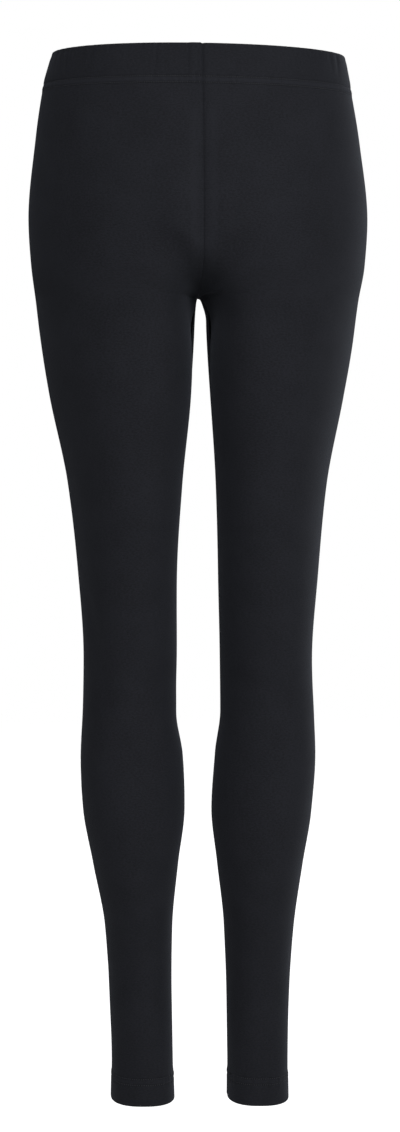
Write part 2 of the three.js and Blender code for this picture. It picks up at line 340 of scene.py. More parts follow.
def section_at(side, drop):
    """Section at each height, with the stance of that side and the blunt arch between the legs."""
    s = {name: monotone_curve(TABLE["drop"], TABLE[name], drop) for name in SECTION_COLUMNS[1:]}
    still_shut = 1 - np.clip((drop - CROTCH) / ARCH_HEIGHT, 0, 1)
    arch = np.where(drop < CROTCH, 0, np.sqrt(1 - still_shut**2))
    inner = s["inner"] + side * s["sway_in"]
    s["outer"] = s["outer"] + side * s["sway_out"]
    s["edge"] = inner
    s["arch"] = arch
    s["soft_arch"] = smooth((drop - CROTCH + ARCH_HEIGHT) / (3 * ARCH_HEIGHT))
    s["inner"] = inner * smooth((drop - RISE_TURN) / (2 * (CROTCH - RISE_TURN)))
    s["power"] = 2 / s["square"]
    return s


def seam_nearness(around):
    """1 at the seams, falling to 0 at a quarter of the way round."""
    return np.clip(1 - (np.minimum(around, 1 - around) / RISE_REACH) ** 2, 0, 1) ** 2


def torso_angle(around):
    """Angle round half the torso, from the front edge to the back edge, crowded at both."""
    crowded = around - RISE_CROWDING * np.sin(2 * np.pi * around) / (2 * np.pi)
    return (crowded - 0.5) * np.pi


def torso_ring(s, around):
    """Half ring from the front seam over the side to the back seam."""
    sine = np.sin(torso_angle(around))
    cosine = np.abs(np.cos(torso_angle(around)))
    depth = np.where(sine < 0, s["front"], s["back"])
    x = s["outer"] * cosine ** s["power"]
    return x, s["mid_out"] * cosine + depth * signed_power(sine, s["power"])


def leg_ring(s, around):
    """Whole ring of a leg, from the inseam over the front, side and back to the inseam."""
    rate = 1 / (1 - INSEAM_EASE)
    from_end = np.minimum(around, 1 - around)
    near = rate * from_end**2 / (2 * INSEAM_EASE)
    eased = np.where(from_end < INSEAM_EASE, near, rate * (from_end - INSEAM_EASE / 2))
    angle = (2 * np.where(around < 0.5, eased, 1 - eased) - 1) * np.pi
    sine, cosine = np.sin(angle), np.cos(angle)
    centre = (s["mid_in"] + s["mid_out"]) / 2
    skew = (s["mid_out"] - s["mid_in"]) / 2
    depth = np.where(sine < 0, s["front"] + centre, s["back"] - centre)
    half_width = (s["outer"] - s["inner"]) / 2
    near_seam = seam_nearness(around)
    opened = mix(s["soft_arch"], s["arch"], near_seam**24)
    to_edge = (s["edge"] * opened - s["inner"]) * near_seam
    x = (s["outer"] + s["inner"]) / 2 + half_width * signed_power(cosine, s["power"]) + to_edge
    return x, centre + skew * cosine + depth * signed_power(sine, s["power"])


def plain_surface(side, drop, around):
    """Points of the plain outer surface, in millimetres."""
    drop, around = np.broadcast_arrays(np.asarray(drop, float), np.asarray(around, float))
    s = section_at(side, drop)
    near = seam_nearness(around)
    turn_from = RISE_TURN - TURN_ABOVE * (1 - near)
    turn_to = CROTCH + TURN_BELOW * (1 - near)
    turned = np.clip((drop - turn_from) / (turn_to - turn_from), 0, 1)
    under = mix(smooth(turned), 1 - np.cos(turned * np.pi / 2), near**4)
    torso_x, torso_y = torso_ring(s, around)
    leg_x, leg_y = leg_ring(s, around)
    seam_turn = np.clip((drop - RISE_TURN) / (CROTCH - RISE_TURN), 0, 1)
    seam_shift = (CROTCH - RISE_TURN) * (np.sin(seam_turn * np.pi / 2) - seam_turn)
    frontness = np.maximum(-np.sin(torso_angle(around)), 0) ** 2
    dip = FRONT_DIP * frontness * (1 - smooth((drop - BAND_DEPTH) / (RISE_TURN - BAND_DEPTH)))
    x = side * mix(torso_x, leg_x, under)
    z = BAND_DEPTH / 2 - (drop + near * seam_shift + dip) + SIDE_TILT * x
    return np.stack([x, mix(torso_y, leg_y, under), z], -1)


def outward(side, drop, around, drop_step=3.0, round_step=0.012):
    """Outward directions, kept in the seam's own plane along the rise and the inseam."""
    drop, around = np.broadcast_arrays(np.asarray(drop, float), np.asarray(around, float))
    above = plain_surface(side, np.maximum(drop - drop_step, 0), around)
    below = plain_surface(side, np.minimum(drop + drop_step, HEM_FOLD), around)
    before = plain_surface(side, drop, np.maximum(around - round_step, 0))
    after = plain_surface(side, drop, np.minimum(around + round_step, 1))
    normal = side * np.cross(below - above, after - before)
    at_end = (around == 0) | (around == 1)
    normal[..., 0] = np.where(at_end & (drop <= CROTCH), 0, normal[..., 0])
    normal[..., 1] = np.where(at_end & (drop > CROTCH), 0, normal[..., 1])
    return normal / np.linalg.norm(normal, axis=-1, keepdims=True)


def fold_depth(side, drop, around, table):
    """Depth of all the soft folds of a table at each place."""
    s = section_at(side, drop)
    half_depth = (s["front"] + s["back"]) / 2
    torso_girth = np.pi * (s["outer"] + half_depth) / 2
    leg_girth = np.pi * ((s["outer"] - s["inner"]) / 2 + half_depth)
    girth = mix(torso_girth, leg_girth, smooth((drop - RISE_TURN) / (2 * (CROTCH - RISE_TURN))))
    total = np.zeros(np.broadcast(drop, around).shape)
    for row in table:
        fold = dict(zip(FOLD_COLUMNS, row))
        if fold["side"] == -side:
            continue
        angle = math.radians(fold["slope"])
        across = (around - fold["around"]) * girth
        down = drop - fold["drop"]
        run = across * math.cos(angle) + down * math.sin(angle)
        off = down * math.cos(angle) - across * math.sin(angle)
        total += fold["depth"] * np.exp(-((off / fold["width"]) ** 2) - (2 * run / fold["length"]) ** 4)
    return total


def ring_lengths(points):
    """Distance along each row of points from its first point."""
    steps = np.linalg.norm(np.diff(points, axis=1), axis=2)
    return np.concatenate([np.zeros((len(points), 1)), np.cumsum(steps, axis=1)], axis=1)


def ripple_at(side, along):
    """Uneven ripple of height 1 along a row of stitches."""
    waves = [share * np.sin(2 * np.pi * along / length + start * side) for length, share, start in RIPPLES]
    slow = 0.62 + 0.38 * np.sin(along / 23.0 + side) * np.sin(along / 61.0)
    return sum(waves) * slow


def needle_rows(piece, sizes):
    """Heights of the two rows of stitches of the band or of a hem."""
    gauge = sizes.needle_gauge / MM
    if piece == "band":
        return BAND_DEPTH - ROW_INSET - gauge, BAND_DEPTH - ROW_INSET
    return HEM_FOLD - HEM_DEPTH + ROW_INSET, HEM_FOLD - HEM_DEPTH + ROW_INSET + gauge


def sewn_depth(side, drop, from_front, from_back, sizes):
    """Depth of the fine form that the sewing gives: grooves, puckers, ripples and the pressed allowance."""
    from_seam = np.minimum(from_front, from_back)
    depth = sizes.seam_groove / MM * (bump_at(from_seam, 0, 1.3) + 0.25 * bump_at(from_seam, 0, 4))
    for piece in ("band", "hem"):
        rows = needle_rows(piece, sizes)
        for row in rows:
            depth = depth + sizes.stitch_groove / MM * bump_at(drop, row, 0.9)
        near_rows = bump_at(drop, sum(rows) / 2, 6.5)
        near_back = 0.7 + 1.2 * bump_at(from_back, 0, 32)
        depth = depth + sizes.ripple / MM * near_rows * near_back * ripple_at(side, from_back)
    depth = depth - ELASTIC_SWELL * smooth((drop - ELASTIC_TOP) / 5) * smooth((ELASTIC_FOOT - drop) / 5)
    edge_ripple = 0.28 * np.exp(-drop / 7) * ripple_at(-side, 1.7 * from_back)
    depth = depth + edge_ripple * smooth(from_back / 60)
    for row in PUCKERS:
        pucker = dict(zip(PUCKER_COLUMNS, row))
        if pucker["side"] != side:
            continue
        place = pucker["from_back"] + pucker["slant"] * drop / pucker["reach"]
        fade = np.exp(-((drop / pucker["reach"]) ** 2))
        flat_top = 1 - 0.75 * bump_at(drop, 0, 3)
        depth = depth + pucker["depth"] * flat_top * fade * bump_at(from_back, place, pucker["width"])
    band_step = sizes.band_step / MM * (1 - smooth((drop - BAND_DEPTH + 0.3) / 1.3))
    hem_step = sizes.band_step / MM * smooth((drop - HEM_FOLD + HEM_DEPTH + 1) / 1.3)
    depth = depth - band_step - hem_step
    on_rise = 1 - smooth((drop - 110) / 90)
    pressed = bump_at(from_back, 7, 3.2) * (0.25 + 0.12 * np.sin(drop / 17.0 + side))
    depth = depth - pressed * on_rise * smooth((drop - BAND_DEPTH) / 20)
    if side > 0:
        width = sizes.band_allowance / MM
        ridge = smooth((from_back - 0.6) / 1.6) * smooth((width - from_back) / 1.8)
        edges = bump_at(from_back, width, 1.0) + bump_at(from_back, 2.0, 0.8)
        depth = depth - 0.8 * (ridge + 0.7 * edges) * (1 - smooth((drop - BAND_DEPTH + 2) / 5))
    return depth


class ClothGrid:
    """A grid of places on one side, with its fine outer points and its outward directions."""

    def __init__(self, side, drops, arounds, sizes):
        self.side = side
        drops, arounds = np.asarray(drops, float), np.asarray(arounds, float)
        self.drop, self.around = np.meshgrid(drops, arounds, indexing="ij")
        plain = plain_surface(side, self.drop, self.around)
        self.normal = outward(side, self.drop, self.around)
        self.from_front = ring_lengths(plain)
        self.from_back = self.from_front[:, -1:] - self.from_front
        relief = fold_depth(side, self.drop, self.around, LARGE_FOLDS + SMALL_FOLDS)
        relief = relief + sewn_depth(side, self.drop, self.from_front, self.from_back, sizes)
        from_seam = np.minimum(self.from_front, self.from_back)
        relief = relief * (1 - 0.95 * bump_at(self.drop, CROTCH + 4, 15) * bump_at(from_seam, 0, 18))
        self.points = plain - self.normal * relief[..., None]

    def moved_in(self, inward):
        """The points of a layer that lies deeper in the cloth."""
        return self.points - self.normal * np.asarray(inward, float)[..., None]


# Mesh making

def mesh_object(name, points, faces, material, grain=None):
    """An object from points in millimetres and a list of equal-sided face tables."""
    mesh = bpy.data.meshes.new(name)
    mesh.vertices.add(len(points))
    mesh.vertices.foreach_set("co", (np.asarray(points) * MM).astype(np.float32).ravel())
    corners = np.concatenate([table.ravel() for table in faces])
    sizes = np.concatenate([np.full(len(table), table.shape[1]) for table in faces])
    mesh.loops.add(len(corners))
    mesh.loops.foreach_set("vertex_index", corners.astype(np.int32))
    mesh.polygons.add(len(sizes))
    mesh.polygons.foreach_set("loop_start", (np.cumsum(sizes) - sizes).astype(np.int32))
    mesh.update(calc_edges=True)
    mesh.validate()
    mesh.polygons.foreach_set("use_smooth", np.ones(len(mesh.polygons), bool))
    if grain is not None:
        layer = mesh.attributes.new("grain", "FLOAT_VECTOR", "POINT")
        layer.data.foreach_set("vector", np.asarray(grain, np.float32).ravel())
    mesh.materials.append(material)
    piece = bpy.data.objects.new(name, mesh)
    bpy.context.scene.collection.objects.link(piece)
    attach(piece, "root")
    return piece


def grid_faces(rows, columns, start=0):
    """Quads of a grid of points that is kept row by row."""
    place = start + np.arange(rows * columns).reshape(rows, columns)
    return np.stack([place[:-1, :-1], place[1:, :-1], place[1:, 1:], place[:-1, 1:]], -1).reshape(-1, 4)


def strip_faces(one, other):
    """Quads between two runs of points."""
    return np.stack([one[:-1], one[1:], other[1:], other[:-1]], -1)


def closed_wall(name, grid, skin, lining, material):
    """Closed cloth wall of a grid, between an outer and an inner depth for each row."""
    rows, columns = grid.drop.shape
    count = rows * columns
    outer = grid.moved_in(np.broadcast_to(np.asarray(skin, float)[:, None], grid.drop.shape))
    inner = grid.moved_in(np.broadcast_to(np.asarray(lining, float)[:, None], grid.drop.shape))
    first = np.arange(count).reshape(rows, columns)
    second = first + count
    faces = [
        grid_faces(rows, columns),
        grid_faces(rows, columns, count)[:, ::-1],
        strip_faces(first[:, 0], second[:, 0])[:, ::-1],
        strip_faces(first[:, -1], second[:, -1]),
        strip_faces(first[0], second[0]),
        strip_faces(first[-1], second[-1])[:, ::-1],
    ]
    if grid.side < 0:
        faces = [table[:, ::-1] for table in faces]
    along = np.stack([grid.from_back, grid.drop, np.zeros_like(grid.drop)], -1).reshape(-1, 3)
    points = np.concatenate([outer.reshape(-1, 3), inner.reshape(-1, 3)])
    return mesh_object(name, points, faces, material, np.concatenate([along, along + (0, 0, CLOTH)]))


def thread_beads(name, centres, runs, ups, length, thick, material, sides=6):
    """Joined short stitches, each a bead that lies along its run and bulges to its up direction."""
    stations = np.array([-1, -0.82, -0.4, 0.4, 0.82, 1])
    girths = np.array([0.12, 0.7, 1, 1, 0.7, 0.12])
    turns = 2 * np.pi * np.arange(sides) / sides
    crosses = np.cross(runs, ups)
    rings = []
    for station, girth in zip(stations, girths):
        for turn in turns:
            radial = np.cos(turn) * crosses + np.sin(turn) * ups
            rings.append(centres + runs * (station * length / 2) + radial * (girth * thick / 2))
    points = np.stack(rings, 1)
    per = len(stations) * sides
    ring = np.arange(per).reshape(len(stations), sides)
    nexts = np.roll(ring, -1, axis=1)
    quads = np.stack([ring[:-1], ring[1:], nexts[1:], nexts[:-1]], -1).reshape(-1, 4)
    caps = np.stack([ring[0], ring[-1][::-1]])
    starts = per * np.arange(len(centres))[:, None, None]
    faces = [(quads[None] + starts).reshape(-1, 4), (caps[None] + starts).reshape(-1, sides)]
    return mesh_object(name, points.reshape(-1, 3), faces, material)


def thread_tube(points, ups, thick, sides=5):
    """Points and quads of one closed-ended thread along a run of points."""
    runs = np.gradient(points, axis=0)
    runs /= np.linalg.norm(runs, axis=1, keepdims=True)
    crosses = np.cross(runs, ups)
    crosses /= np.linalg.norm(crosses, axis=1, keepdims=True)
    turns = 2 * np.pi * np.arange(sides) / sides
    rims = [points + (np.cos(t) * crosses + np.sin(t) * np.cross(crosses, runs)) * thick / 2 for t in turns]
    rims = np.stack(rims, 1)
    ring = np.arange(len(points) * sides).reshape(len(points), sides)
    nexts = np.roll(ring, -1, axis=1)
    quads = np.stack([ring[:-1], nexts[:-1], nexts[1:], ring[1:]], -1).reshape(-1, 4)
    caps = np.stack([ring[0][::-1], ring[-1]])
    return rims.reshape(-1, 3), quads, caps


def thread_tubes(name, runs_of_points, thick, material):
    """One object from several threads, each a pair of points and up directions."""
    points, quads, caps = [], [], []
    start = 0
    for run, ups in runs_of_points:
        rims, sides, ends = thread_tube(run, ups, thick)
        points.append(rims)
        quads.append(sides + start)
        caps.append(ends + start)
        start += len(rims)
    return mesh_object(name, np.concatenate(points), [np.concatenate(quads), np.concatenate(caps)], material)


# Materials

class Value:
    """A shader socket that can be used in Python sums."""

    def __init__(self, shader, socket):
        self.shader = shader
        self.socket = socket

    def _math(self, operation, *terms):
        return self.shader.add("ShaderNodeMath", {"operation": operation}, dict(enumerate(terms)))["Value"]

    def __add__(self, other):
        return self._math("ADD", self, other)

    def __radd__(self, other):
        return self._math("ADD", other, self)

    def __sub__(self, other):
        return self._math("SUBTRACT", self, other)

    def __rsub__(self, other):
        return self._math("SUBTRACT", other, self)

    def __mul__(self, other):
        return self._math("MULTIPLY", self, other)

    def __rmul__(self, other):
        return self._math("MULTIPLY", other, self)

    def __truediv__(self, other):
        return self._math("DIVIDE", self, other)

    def __rtruediv__(self, other):
        return self._math("DIVIDE", other, self)

    def fraction(self):
        return self._math("FRACT", self)

    def size(self):
        return self._math("ABSOLUTE", self)

    def cosine(self):
        return self._math("COSINE", self)

    def at_least(self, other):
        return self._math("MAXIMUM", self, other)


class Shader:
    """The nodes of a new material or world."""

    def __init__(self, owner):
        owner.use_nodes = True
        self.owner = owner
        self.nodes = owner.node_tree.nodes
        self.links = owner.node_tree.links
        self.nodes.clear()

    def add(self, kind, settings=(), values=()):
        """Adds a node, sets it up, and gives its outputs by name."""
        node = self.nodes.new(kind)
        for name, setting in dict(settings).items():
            setattr(node, name, setting)
        for name, value in dict(values).items():
            if isinstance(value, Value):
                self.links.new(value.socket, node.inputs[name])
            else:
                node.inputs[name].default_value = value
        return {out.name: Value(self, out) for out in node.outputs if out.enabled}

    def colour_mix(self, factor, low, high):
        """A colour between two, each a link or three numbers; 6 and 7 are the Mix node's colour sockets."""
        ends = [colour if isinstance(colour, Value) else (*colour, 1) for colour in (low, high)]
        values = {"Factor": factor, 6: ends[0], 7: ends[1]}
        return self.add("ShaderNodeMix", {"data_type": "RGBA"}, values)["Result"]

    def noise(self, vector, scale, detail=2.0, roughness=0.5):
        """Noise between 0 and 1, with its finest detail set by the number of layers."""
        values = {"Vector": vector, "Scale": scale, "Detail": detail, "Roughness": roughness}
        return self.add("ShaderNodeTexNoise", {}, values)["Fac"]

    def finish(self, surface, output="ShaderNodeOutputMaterial"):
        """Links the surface to the output, and gives the material or world."""
        self.add(output, {}, {"Surface": surface})
        return self.owner


def jersey_material(name, sizes, colours):
    """Matt cotton jersey: knit columns and rows, fine speckle, faint unevenness and a soft bloom, with
    painted highlights beside the back seam and between the needle rows, and painted shadows in the needle
    holes.
    """
    shader = Shader(bpy.data.materials.new(name))
    grain = shader.add("ShaderNodeAttribute", {"attribute_name": "grain"})["Vector"]
    parts = shader.add("ShaderNodeSeparateXYZ", {}, {"Vector": grain})
    across = parts["X"] / (sizes.wale / MM)
    down = parts["Y"] / (sizes.course / MM)
    from_middle = (across.fraction() - 0.5).size() * 2
    loops = ((down + from_middle * 0.8) * (2 * math.pi)).cosine() * 0.5 + 0.5
    columns = 1 - from_middle * from_middle
    knit = loops * 0.45 + columns * 0.55
    streaked = shader.add(
        "ShaderNodeVectorMath", {"operation": "MULTIPLY"}, {0: grain, 1: (0.52, 1.0, 1.0)})["Vector"]
    speckle = shader.noise(streaked, 0.8, 4.0, 0.85)
    cloudy = shader.noise(grain, 0.022, 3.0, 0.6)
    fuzz = shader.noise(grain, 3.5, 2.0, 0.6)
    # Painted highlight: the pressed mask lightens the colour in a strip beside the back seam, where light
    # catches the allowance
    from_strip = (parts["X"] - PAINTED_SHINE_STRIP["from_back"]) / PAINTED_SHINE_STRIP["width"]
    down_strip = (parts["Y"] - PAINTED_SHINE_STRIP["drop"]) / PAINTED_SHINE_STRIP["length"]
    pressed = (1 - from_strip * from_strip).at_least(0) * (1 - down_strip * down_strip).at_least(0)
    rows = needle_rows("band", sizes) + needle_rows("hem", sizes)
    half_gauge = sizes.needle_gauge / MM / 2
    # Painted highlight on the raised ridge between the two needle rows of the band and of the hems
    painted_ridge_highlights = (((rows[0] + rows[1]) / 2, 0.6), ((rows[2] + rows[3]) / 2, 0.2))
    ridge = sum(
        (1 - (parts["Y"] - middle).size() / half_gauge).at_least(0) * lift for middle, lift in painted_ridge_highlights)
    mottled = (knit - 0.5) * 0.3 + (speckle - 0.5) * 5.2 + (cloudy - 0.5) * 1.2
    # Random knit tone and speckle, lightened by the painted highlights of pressed and ridge
    shade = mottled + pressed * 0.35 + 0.5 + ridge
    pitch = sizes.stitch_pitch / MM
    # Painted shadow in the needle holes: the holes mask turns the cloth's colour near-black at each hole
    # along the rows
    from_hole = ((parts["X"] / pitch + 0.5).fraction() - 0.5).size() * (pitch / HOLE_SHADOW_SPREAD)
    near_row = sum((1 - (parts["Y"] - row).size() / HOLE_SHADOW_SPREAD).at_least(0) for row in rows)
    holes = (1 - from_hole).at_least(0) * near_row
    colour = shader.colour_mix(shade, colours.cloth_dark, colours.cloth_light)
    colour = shader.colour_mix(holes * 1.6, colour, colours.needle_hole_shadow)
    height = knit * 0.6 + fuzz * 0.5 + speckle * 0.5
    bump = shader.add(
        "ShaderNodeBump", {}, {"Strength": 0.35, "Distance": 0.25 * MM, "Height": height})["Normal"]
    surface = shader.add("ShaderNodeBsdfPrincipled", {}, {
        "Base Color": colour,
        "Roughness": (speckle - 0.5) * 0.2 + 0.88,
        "Specular IOR Level": 0.3,
        "Sheen Weight": 0.07,
        "Sheen Roughness": 0.45,
        "Sheen Tint": (*colours.bloom, 1),
        "Normal": bump,
    })["BSDF"]
    return shader.finish(surface)


def thread_material(name, colours):
    """Spun polyester thread: a little smoother than the jersey, with a fine twist."""
    shader = Shader(bpy.data.materials.new(name))
    place = shader.add("ShaderNodeTexCoord")["Object"]
    twist = shader.noise(place, 3200, 2.0, 0.6)
    colour = shader.colour_mix(twist, [0.6 * c for c in colours.thread], [1.4 * c for c in colours.thread])
    bump = shader.add(
        "ShaderNodeBump", {}, {"Strength": 0.3, "Distance": 0.1 * MM, "Height": twist})["Normal"]
    surface = shader.add("ShaderNodeBsdfPrincipled", {}, {
        "Base Color": colour,
        "Roughness": (twist - 0.5) * 0.2 + 0.62,
        "Specular IOR Level": 0.45,
        "Sheen Weight": 0.08,
        "Sheen Tint": (*colours.bloom, 1),
        "Normal": bump,
    })["BSDF"]
    return shader.finish(surface)


def kept_material(name, make, *facts):
    """A material that several pieces share."""
    return bpy.data.materials.get(name) or make(name, *facts)


def settings():
    scene = bpy.context.scene
    return scene.leggings_sizes, scene.leggings_colours


def jersey():
    return kept_material("black_jersey", jersey_material, *settings())


def thread():
    return kept_material("black_thread", thread_material, settings()[1])


# Places along the cloth

SEAM_STEPS = (0, 0.0025, 0.005, 0.009, 0.015)


def columns_round(count):
    """Places round a side, crowded at its two seams."""
    ends = np.array(SEAM_STEPS)
    return np.concatenate([ends, np.linspace(0.022, 0.978, count), 1 - ends[::-1]])


def folded_profile(flat_edge, fold_edge, thick, row_step):
    """Rows of a folded edge: drop, outer depth and inner depth, from the top row to the lowest."""
    radius = thick / 2
    direction = np.sign(fold_edge - flat_edge)
    rows = round(abs(fold_edge - flat_edge) / row_step)
    straight = np.linspace(flat_edge, fold_edge - direction * radius, rows)
    turns = np.radians([18, 36, 54, 70, 84])
    round_drops = fold_edge - direction * radius * (1 - np.sin(turns))
    insets = radius * (1 - np.cos(turns))
    drops = np.concatenate([straight, round_drops])
    skin = np.concatenate([np.zeros(len(straight)), insets])
    order = slice(None) if direction > 0 else slice(None, None, -1)
    return drops[order], skin[order], (thick - skin)[order]


def places_along(side, drop, pitch, start, sizes):
    """Even steps round the cloth at one height: grid of the points, with directions along the row."""
    fine = ClothGrid(side, [drop], columns_round(700), sizes)
    total = fine.from_front[0, -1]
    stops = (total - np.arange(start, total - start / 2, pitch))[::-1]
    arounds = np.interp(stops, fine.from_front[0], fine.around[0])
    points = np.stack([np.interp(stops, fine.from_front[0], fine.points[0, :, k]) for k in range(3)], 1)
    ups = outward(side, np.full(len(arounds), float(drop)), arounds)
    runs = np.gradient(points, axis=0)
    runs -= ups * np.sum(runs * ups, axis=1, keepdims=True)
    runs /= np.linalg.norm(runs, axis=1, keepdims=True)
    return points, runs, ups


# Pieces

def build_legs():
    """The two panels, each half of the torso and one whole leg."""
    sizes, _ = settings()
    row_step = 2.7
    top, bottom = BAND_DEPTH + 0.05, HEM_FOLD - HEM_DEPTH - 0.05
    edge_rows = np.array([0, 0.6, 1.3, 2.2, 3.4])
    middle = np.linspace(top + 5, bottom - 5, round((bottom - top - 10) / row_step))
    off_arch = (middle < CROTCH - 0.6) | (middle > CROTCH + ARCH_HEIGHT + 0.6)
    arch = CROTCH + ARCH_HEIGHT * np.linspace(0, 1, 9) ** 2
    drops = np.sort(np.concatenate([top + edge_rows, middle[off_arch], arch, bottom - edge_rows]))
    for name, side in SIDES:
        grid = ClothGrid(side, drops, columns_round(112), sizes)
        flat = np.zeros(len(drops))
        piece = closed_wall(f"leg_panel_{name}", grid, flat, flat + CLOTH, jersey())
        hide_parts(f"leg_{name}")


def build_waistband():
    """The elastic casing, in two halves that meet at the centre seams."""
    sizes, _ = settings()
    drops, skin, lining = folded_profile(BAND_DEPTH, 0, BAND_THICK, 0.8)
    for name, side in SIDES:
        grid = ClothGrid(side, drops, columns_round(300), sizes)
        squeeze = sum(bump_at(drops, row, 1.6) for row in needle_rows("band", sizes))
        piece = closed_wall(f"waist_casing_{name}", grid, skin, lining - 0.9 * squeeze, jersey())
        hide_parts(f"waistband_{name}")


def build_hems():
    """The turned hems."""
    sizes, _ = settings()
    drops, skin, lining = folded_profile(HEM_FOLD - HEM_DEPTH, HEM_FOLD, HEM_THICK, 0.8)
    for name, side in SIDES:
        grid = ClothGrid(side, drops, columns_round(180), sizes)
        squeeze = sum(bump_at(drops, row, 1.6) for row in needle_rows("hem", sizes))
        piece = closed_wall(f"hem_fold_{name}", grid, skin, lining - 0.5 * squeeze, jersey())
        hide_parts(f"hem_{name}")


def build_stitches():
    """The twin-needle rows outside, and their looping threads inside."""
    sizes, _ = settings()
    pitch = sizes.stitch_pitch / MM
    thick = sizes.thread / MM
    bead_length, bead_rise = 0.66 * pitch, 0.12
    looper_swing = [0, 0.85, 1, 0.15]
    kinds = (("band", "waistband_jersey", BAND_THICK - 0.5), ("hem", "hem_jersey", HEM_THICK))
    for piece, slot, inside in kinds:
        rows = needle_rows(piece, sizes)
        for name, side in SIDES:
            beads = [places_along(side, row, pitch, pitch / 2, sizes) for row in rows]
            points, runs, ups = (np.concatenate(parts) for parts in zip(*beads))
            centres = points + ups * bead_rise
            stitches = thread_beads(
                f"{piece}_stitches_{name}", centres, runs, ups, bead_length, thick, thread())
            upper, lower = (places_along(side, row, pitch / 2, pitch / 2, sizes) for row in rows)
            count = min(len(upper[0]), len(lower[0]))
            swing = np.tile(looper_swing, count)[:count, None]
            path = mix(upper[0][:count], lower[0][:count], swing)
            ups = upper[2][:count]
            loops = thread_tubes(
                f"{piece}_loopers_{name}", [(path - ups * (inside + 0.1), ups)], thick * 0.8, thread())


def seam_strip(name, side, drops, at_back, width, inside, sizes):
    """The two seam allowances, overlocked together and turned to one side, on the cloth's inner face."""
    across = np.array([0.15, 0.6, 2.0, 4.0, 0.85 * (width - 1), width - 0.3, width])
    rises = np.array([0.3, 1.0, 1.35, 1.35, 1.3, 0.9, 0.25])
    fine = ClothGrid(side, drops, columns_round(220), sizes)
    measured = fine.from_back[:, ::-1] if at_back else fine.from_front
    arounds = fine.around[:, ::-1] if at_back else fine.around
    places = np.stack([np.interp(across, measured[i], arounds[i]) for i in range(len(drops))])
    points = plain_surface(side, np.asarray(drops)[:, None], places)
    ups = outward(side, np.asarray(drops)[:, None], places)
    folds = fold_depth(side, np.asarray(drops)[:, None], places, LARGE_FOLDS + SMALL_FOLDS)[..., None]
    near = points - ups * (inside + 0.35 + folds)
    far = near - ups * rises[:, None]
    rows, columns = places.shape
    first = np.arange(rows * columns).reshape(rows, columns)
    second = first + rows * columns
    faces = [
        grid_faces(rows, columns), grid_faces(rows, columns, rows * columns)[:, ::-1],
        strip_faces(first[:, 0], second[:, 0])[:, ::-1], strip_faces(first[:, -1], second[:, -1]),
        strip_faces(first[0], second[0]), strip_faces(first[-1], second[-1])[:, ::-1],
    ]
    if (side < 0) != at_back:
        faces = [table[:, ::-1] for table in faces]
    grain = np.broadcast_to(np.stack([across, across * 0, across * 0], -1), (rows, columns, 3)).copy()
    grain[..., 1] = np.asarray(drops)[:, None]
    grain = grain.reshape(-1, 3)
    strip = mesh_object(
        name, np.concatenate([near.reshape(-1, 3), far.reshape(-1, 3)]), faces, jersey(),
        np.concatenate([grain, grain]))
    return strip, far, ups


def build_seams():
    """Overlocked allowances inside the rise and the inseams, with their threads."""
    sizes, _ = settings()
    width = sizes.allowance / MM
    thick = 0.8 * sizes.thread / MM
    overlock_step = 2.8
    band_foot = BAND_DEPTH + 0.6
    rise = np.arange(band_foot, CROTCH - 1, overlock_step)
    inseam = np.arange(CROTCH + 4, HEM_FOLD - HEM_DEPTH - 1, overlock_step)
    seams = (
        ("back_rise", 1, rise, True), ("front_rise", 1, rise, False),
        ("inseam_left", 1, inseam, True), ("inseam_right", -1, inseam, True),
    )
    for name, side, drops, at_back in seams:
        strip, far, ups = seam_strip(f"{name}_allowance", side, drops, at_back, width, CLOTH, sizes)
        zigzag = [far[i, 1 + 4 * (i % 2)] - ups[i, 3] * 0.2 for i in range(len(far))]
        wrap_ups = np.repeat(ups[:, 3], 2, axis=0)
        wraps = np.concatenate([far[:, 5], far[:, 1]], 1).reshape(-1, 3) - wrap_ups * 0.3
        threads = thread_tubes(
            f"{name}_overlock", [(wraps, wrap_ups), (np.array(zigzag), ups[:, 3])], thick, thread())


# Stage

def soft_light(name, place, aim, width, height, power, colour):
    """A large rectangular light that faces its aim."""
    data = bpy.data.lights.new(name, "AREA")
    data.shape = "RECTANGLE"
    data.size, data.size_y = width, height
    data.energy = power
    data.color = colour
    light = bpy.data.objects.new(name, data)
    bpy.context.scene.collection.objects.link(light)
    light.location = place
    light.rotation_mode = "QUATERNION"
    light.rotation_quaternion = (Vector(aim) - Vector(place)).to_track_quat("-Z", "Y")


def build_camera(stage):
    """The camera at the photograph's viewing angle."""
    data = bpy.data.cameras.new("camera")
    data.sensor_width = 36
    data.lens = data.sensor_width / 2 / math.tan(stage.view_height / 2)
    data.clip_end = 100
    camera = bpy.data.objects.new("camera", data)
    bpy.context.scene.collection.objects.link(camera)
    turn = stage.round_turn
    aim_turn = turn + math.radians(0.044)
    axis_x = -1.2 * MM
    camera.location = (
        axis_x + stage.distance * math.sin(turn), stage.distance * math.cos(turn), -stage.below_waist)
    level = math.cos(stage.pitch)
    forward = Vector((-math.sin(aim_turn) * level, -math.cos(aim_turn) * level, -math.sin(stage.pitch)))
    camera.rotation_mode = "QUATERNION"
    camera.rotation_quaternion = forward.to_track_quat("-Z", "Y")
    bpy.context.scene.camera = camera


